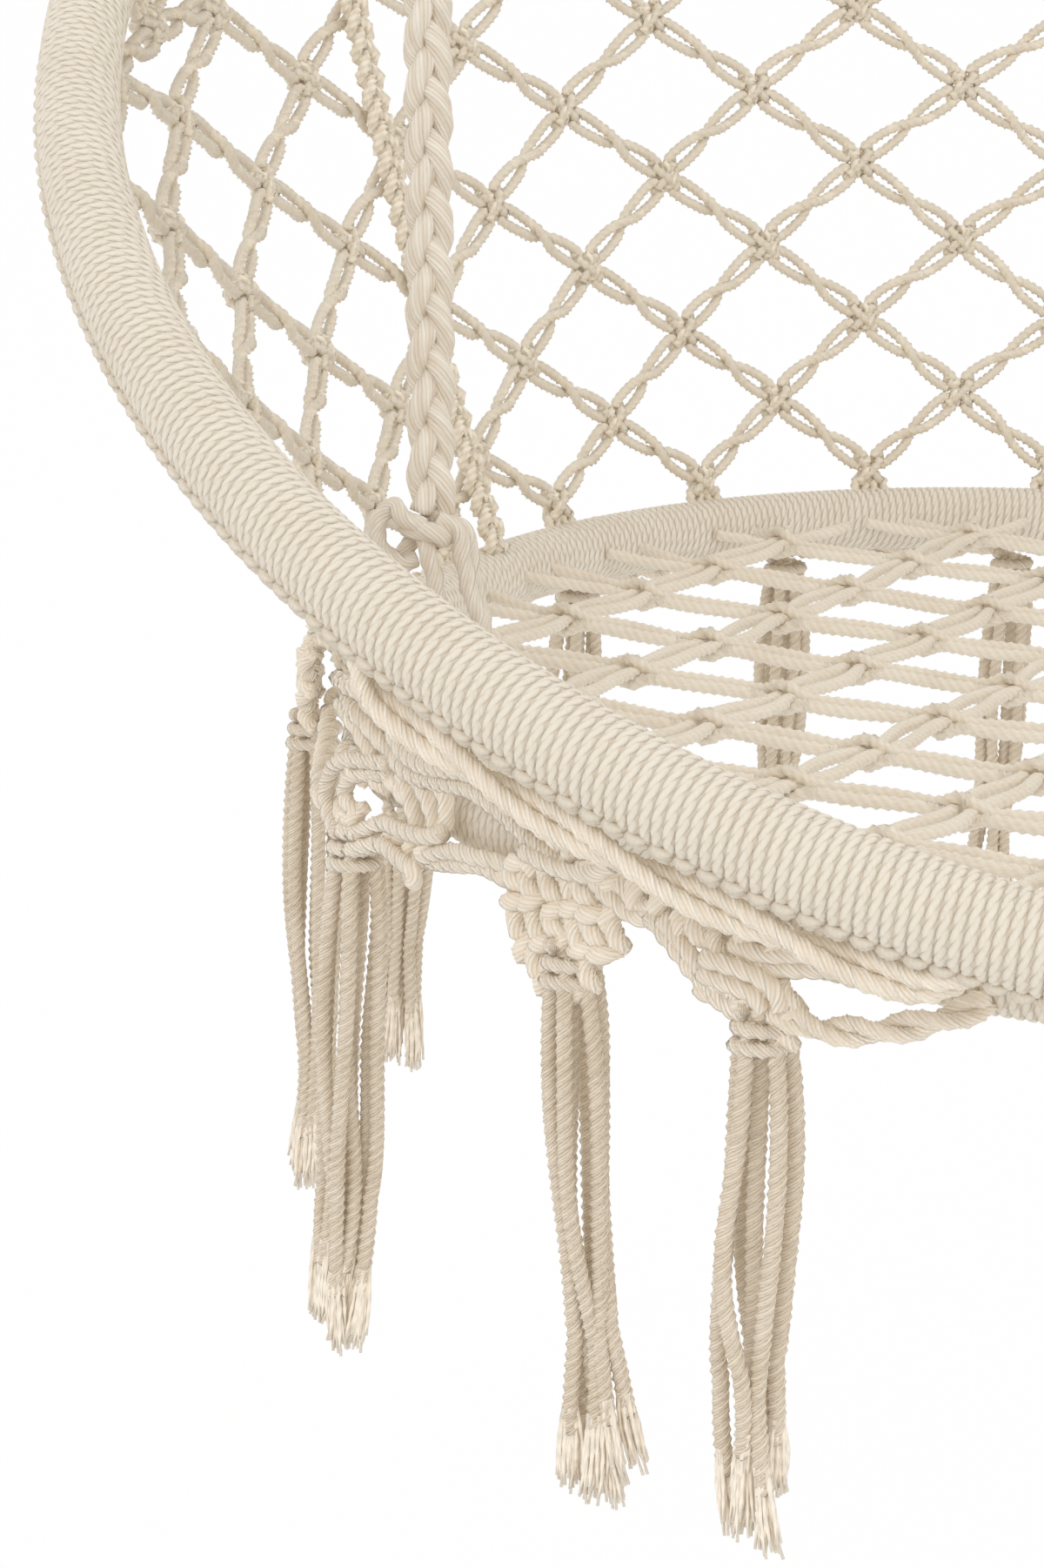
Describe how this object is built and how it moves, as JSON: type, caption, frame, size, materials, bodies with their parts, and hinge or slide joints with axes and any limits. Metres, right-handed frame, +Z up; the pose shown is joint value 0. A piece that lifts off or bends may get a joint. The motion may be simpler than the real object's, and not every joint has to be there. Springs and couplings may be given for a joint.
{
  "type": "hammock chair",
  "caption": "Round hanging chair of cream cotton cord knotted over two steel hoops: netted seat and back, tasselled skirt, braided ropes and a steel hanging ring.",
  "frame": {"origin": "where a hook bears inside the top of the steel hanging ring, with the chair hanging at rest below it", "axes": "+Z up, -Y the way the sitter faces, +X to the sitter's left; the ring lies in the XZ plane"},
  "size_m": [0.806, 0.7089, 1.3598],
  "materials": {
    "cotton cord": "twisted natural cotton cord, matte",
    "net cord": "twisted natural cotton cord, matte",
    "hoop steel": "bare drawn tube under the cord",
    "ring steel": "zinc-plated, bright"
  },
  "bodies": {
    "ring": {"hanging_ring": "ring steel"},
    "chair": {"ring_eye": "cotton cord", "top_binding": "cotton cord", "front_rope_left": "cotton cord", "rope_tie_left": "cotton cord", "rope_bridle_left": "cotton cord", "rear_rope_left": "cotton cord", "net_braid_left": "net cord", "front_rope_right": "cotton cord", "rope_tie_right": "cotton cord", "rope_bridle_right": "cotton cord", "rear_rope_right": "cotton cord", "net_braid_right": "net cord", "seat_hoop_tube": "hoop steel", "seat_hoop_spigot": "hoop steel", "seat_hoop_wrap": "cotton cord", "back_hoop_tube": "hoop steel", "back_hoop_spigot": "hoop steel", "back_hoop_wrap": "cotton cord", "back_hoop_ridge_1": "cotton cord", "back_hoop_ridge_2": "cotton cord", "back_hoop_ridge_3": "cotton cord", "back_hoop_ridge_4": "cotton cord", "back_net_1": "net cord", "back_net_2": "net cord", "back_net_3": "net cord", "back_net_4": "net cord", "back_net_5": "net cord", "back_net_6": "net cord", "back_net_7": "net cord", "seat_net": "net cord", "skirt": "cotton cord", "front_lacing": "cotton cord", "tassel_01": "cotton cord", "tassel_02": "cotton cord", "tassel_03": "cotton cord", "tassel_04": "cotton cord", "tassel_05": "cotton cord", "tassel_06": "cotton cord", "tassel_07": "cotton cord", "tassel_08": "cotton cord", "tassel_09": "cotton cord", "tassel_10": "cotton cord", "tassel_11": "cotton cord", "tassel_12": "cotton cord", "tassel_13": "cotton cord", "tassel_14": "cotton cord"}
  },
  "joints": [
    {"name": "swing", "type": "hinge", "parent": "ring", "child": "chair", "pos_m": [0, 0, -0.055], "axis": [1, 0, 0], "range_deg": [-30, 30]}
  ]
}
